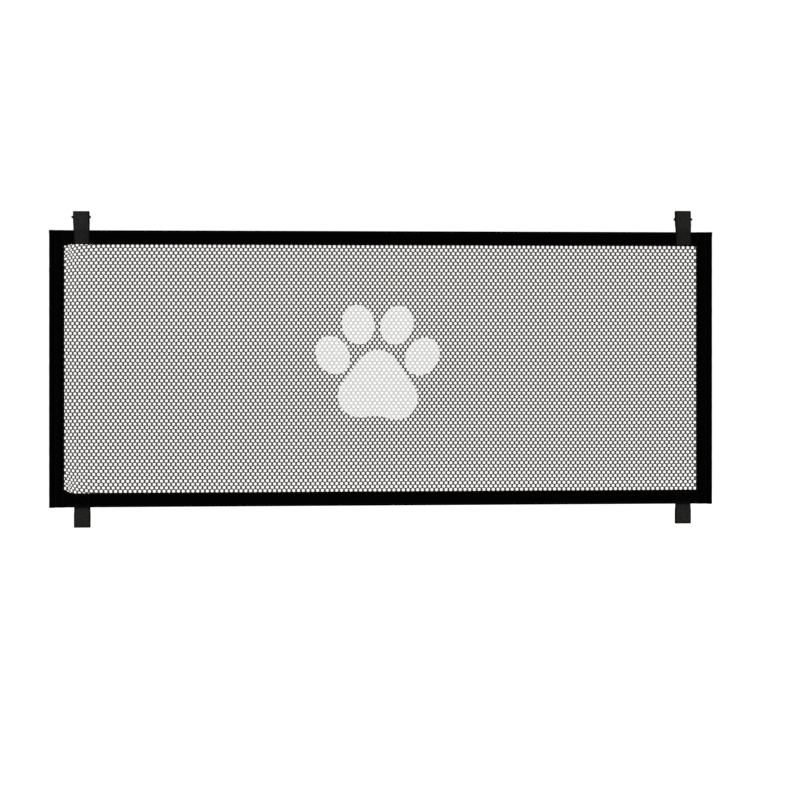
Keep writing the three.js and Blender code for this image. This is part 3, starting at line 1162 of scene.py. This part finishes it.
def webbing_section(width):
    """Half thickness at places across the ribbon: ribs by a rectified sine, thin selvedges."""
    count = 8 * round(width / RIB) + 1
    across = np.linspace(-width / 2, width / 2, count)
    ribs = RIB_DEPTH * np.abs(np.sin(np.pi * across / RIB))
    edge = np.clip((width / 2 - np.abs(across)) / SELVEDGE_WIDTH, 0, 1)
    half = (WEBBING_THICKNESS / 2 - RIB_DEPTH) * np.sqrt(0.2 + 0.8 * edge * (2 - edge)) + ribs * edge
    return across, half


def strap(corner, upwards):
    """Carries the ribbed section along the strap's line."""
    root_low, root_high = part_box(f"{corner}_strap_root")
    loop_low, loop_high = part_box(f"{corner}_strap_loop")
    plane = (root_low.y + root_high.y) / 2
    centre_x = (root_low.x + root_high.x) / 2
    height_of_root = root_high.z - root_low.z
    gap_of_fold = loop_low.z - root_high.z if upwards > 0 else root_low.z - loop_high.z
    fold = height_of_root + gap_of_fold / 2
    tip = height_of_root + gap_of_fold + loop_high.z - loop_low.z
    half_hollow = (loop_high.y - loop_low.y) / 2 - WEBBING_THICKNESS
    line = strap_line(fold, tip, half_hollow)
    step = np.gradient(line, axis=0)
    step /= np.linalg.norm(step, axis=1, keepdims=True)
    normal = np.stack([-step[:, 1], step[:, 0]], axis=-1)
    across, half = webbing_section(root_high.x - root_low.x)
    section = both_sides(line[:, None], normal[:, None], half[:, None])
    places = np.concatenate([across, across[::-1]])
    base = root_low.z if upwards > 0 else root_high.z
    walked = np.linalg.norm(np.diff(line, axis=0, prepend=line[:1]), axis=1).cumsum()
    askew = PLY_SLIP * (2 * walked / walked[-1] - 1)
    lean = LEAN.get(corner, 0.0) * smooth(line[:, 1], 0, tip)
    x = centre_x + places + (askew + lean)[:, None]
    points = np.stack([x, plane + section[..., 0], base + upwards * section[..., 1]], axis=-1)
    piece = ringed(
        f"{corner}_strap",
        points[None],
        along=walked[None, :, None],
        across=places,
        from_nose=np.abs(walked - walked[-1] / 2)[None, :, None],
    )
    finished(piece, webbing, None, [f"{corner}_strap_root", f"{corner}_strap_loop"])
    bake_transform(piece)
    print(piece.name, "is", round(walked[-1] / MM), "mm of webbing")


for corner, upwards in CORNERS.items():
    strap(corner, upwards)

# %% [markdown]
# ## Stitches
#
# A lockstitch shows as short lengths of thread that rise out of the cloth and dive back into it.
# Each is a tube of four rings with four sides, the two end rings under the surface: 28 triangles,
# because there are thousands. All the stitches of one seam are one piece, made in one go from the
# arrays of where they start, where they end and which way is out.


# %% Short lengths of thread
def thread(name, rows):
    """Makes the stitches of rows that hold where each starts, where it ends and which way is out.

    Ring i of a stitch is at the share s_i of the way, raised by h_i, with the radius r_i. Its
    four points are r (c side + s out), where side is the direction crossed with out.
    """
    start, end, outwards = (np.concatenate(part) for part in zip(*rows))
    share = np.array([0.03, 0.3, 0.7, 0.97])
    raised = np.array([-0.14, 0.16, 0.16, -0.14]) * MM
    thick = np.array([0.14, 0.26, 0.26, 0.14]) * MM
    way = end - start
    length = np.linalg.norm(way, axis=1, keepdims=True)
    aside = np.cross(way / length, outwards)
    angle = np.radians([45, 135, 225, 315])
    centre = start[:, None] + share[:, None] * way[:, None] + raised[:, None] * outwards[:, None]
    spoke = np.cos(angle)[:, None] * aside[:, None] + np.sin(angle)[:, None] * outwards[:, None]
    points = centre[:, :, None] + thick[:, None, None] * spoke[:, None]
    along = (length * share)[:, :, None]
    across = thick[:, None] * np.cos(angle)
    piece = ringed(name, points, sharp=60, along=along, across=across[None])
    finished(piece, sewing_thread)
    return len(start)


def seam_line(start, end, pitch):
    """Starts and ends of stitches along a straight seam, a whole number that fits it."""
    start, end = np.array(start, float), np.array(end, float)
    count = max(1, round(np.linalg.norm(end - start) / pitch))
    marks = start + np.linspace(0, 1, count + 1)[:, None] * (end - start)
    return marks[:-1], marks[1:]


def facing(points, sign):
    """The direction out of the front or the back of the gate, one for each point."""
    return np.tile([0.0, float(sign), 0.0], (len(points), 1))


print("a stitch has", 2 * (3 * 4 + 2), "triangles")

# %% [markdown]
# The tape's two rows run its whole length on both faces. A sleeve has one row that closes the
# pocket and one along its inner edge. The same functions that shaped the plies give the height
# of the cloth under each stitch, so the thread lies on it.

# %% Border and sleeve seams
def tape_seams(name, inner_z, upwards, lift):
    """Two rows on both faces, on the surface of the tape at their depth."""
    rows = []
    for depth in TAPE_ROWS:
        for face in (-1, 1):
            left, right = (-opening_half_width, 0, 0), (opening_half_width, 0, 0)
            start, end = seam_line(left, right, STITCH_PITCH)
            for mark in (start, end):
                mark[:, 1] = face * (tape_out(mark[:, 0], depth) + PLY / 2)
                raised = depth - lift * corner_lift(mark[:, 0]) * (1 - depth / border_depth)
                mark[:, 2] = inner_z + upwards * raised
            rows.append((start, end, facing(start, face)))
    return thread(name, rows)


def sleeve_seams(name, outwards, reach):
    """The pocket seam and the edge seam on both faces, and none at the very ends."""
    rows = []
    for inset in sleeve_rows(reach):
        for face in (-1, 1):
            x = outwards * (half_width - inset)
            foot, head = (x, 0, gate_low + 2 * MM), (x, 0, gate_high - 2 * MM)
            start, end = seam_line(foot, head, STITCH_PITCH)
            for mark in (start, end):
                mark[:, 1] = face * (sleeve_out(mark[:, 2], inset, reach) + PLY / 2)
            rows.append((start, end, facing(start, face)))
    return thread(name, rows)


stitch_count = tape_seams("top_tape_thread", top_low.z, 1, TOP_LIFT)
stitch_count += tape_seams("bottom_tape_thread", bottom_high.z, -1, BOTTOM_LIFT)
stitch_count += sleeve_seams("left_sleeve_thread", -1, 0.0)
stitch_count += sleeve_seams("right_sleeve_thread", 1, RIGHT_REACH)
print(stitch_count, "stitches in the borders and sleeves")

# %% [markdown]
# A strap that carries a load is sewn down with a box and a cross, which spreads the pull over the
# whole root. The stitches show on the webbing and again on the other face of the border.

# %% Box and cross on each root
BOX_INSET = 4 * MM
BOX_PITCH = 3.0 * MM


def box_and_cross(corner):
    """Four sides and two diagonals of a rectangle, on the root and on the far side of the tape."""
    low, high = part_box(f"{corner}_strap_root")
    face = -1 if high.y < 0 else 1
    x1, x2 = low.x + BOX_INSET, high.x - BOX_INSET
    z1, z2 = low.z + BOX_INSET, high.z - BOX_INSET
    a, b, c, d = (x1, 0, z1), (x2, 0, z1), (x2, 0, z2), (x1, 0, z2)
    runs = ((a, b), (b, c), (c, d), (d, a), (a, c), (b, d))
    lines = [seam_line(*run, BOX_PITCH) for run in runs]
    start = np.concatenate([line[0] for line in lines])
    end = np.concatenate([line[1] for line in lines])
    plane = (low.y + high.y) / 2
    on_webbing = abs(plane) + ROOT_HALF_GAP + WEBBING_THICKNESS / 2
    rows = []
    for sign, level in ((face, on_webbing), (-face, FOLD_OUTER)):
        raised = (0, sign * level, 0)
        rows.append((start + raised, end + raised, facing(start, sign)))
    return thread(f"{corner}_strap_thread", rows)


for corner in CORNERS:
    stitch_count += box_and_cross(corner)
print(stitch_count, "stitches in all")
